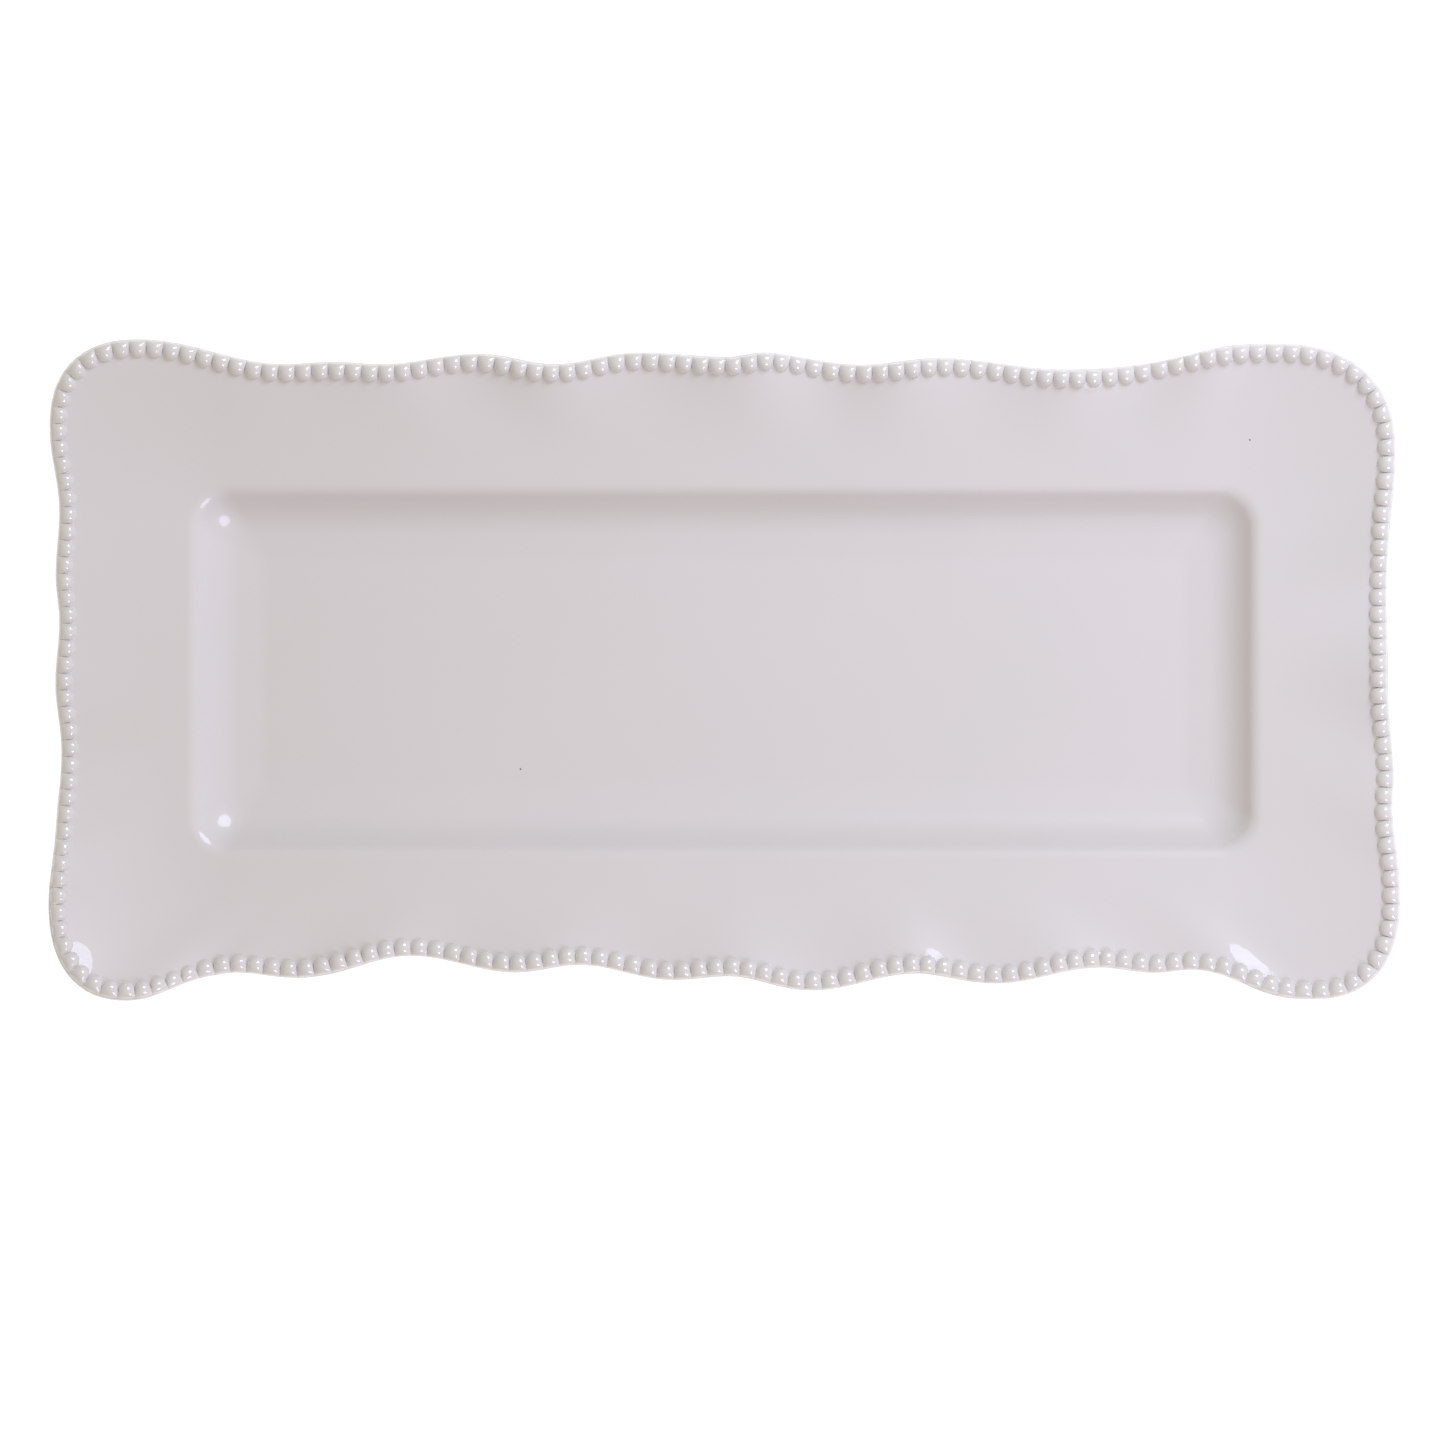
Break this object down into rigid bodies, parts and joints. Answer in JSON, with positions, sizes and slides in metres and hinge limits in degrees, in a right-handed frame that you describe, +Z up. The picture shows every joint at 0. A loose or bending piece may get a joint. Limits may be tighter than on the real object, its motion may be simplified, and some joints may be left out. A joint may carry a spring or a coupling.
{
  "type": "serving platter",
  "caption": "Long rectangular serving platter in white glazed china, with a plain flat well and a broad ruffled rim edged in pearl beading, standing on a low foot ring.",
  "frame": {"origin": "centre of the platter's outline, on the plane that the foot ring stands on", "axes": "+X along the platter to the right, +Y across it to the back, +Z up out of the well"},
  "size_m": [0.5074, 0.2473, 0.0426],
  "materials": {
    "glazed_china": "clear gloss glaze over white china",
    "glazed_beads": "clear gloss glaze, pooled between the pearls",
    "foot_clay": "bare ground clay where it stands, glazed above"
  },
  "bodies": {
    "root": {"well": "glazed_china", "rim": "glazed_china", "foot_ring": "foot_clay", "beads_back": "glazed_beads", "beads_back_right_corner": "glazed_beads", "beads_right": "glazed_beads", "beads_front_right_corner": "glazed_beads", "beads_front": "glazed_beads", "beads_front_left_corner": "glazed_beads", "beads_left": "glazed_beads", "beads_back_left_corner": "glazed_beads"}
  },
  "joints": []
}
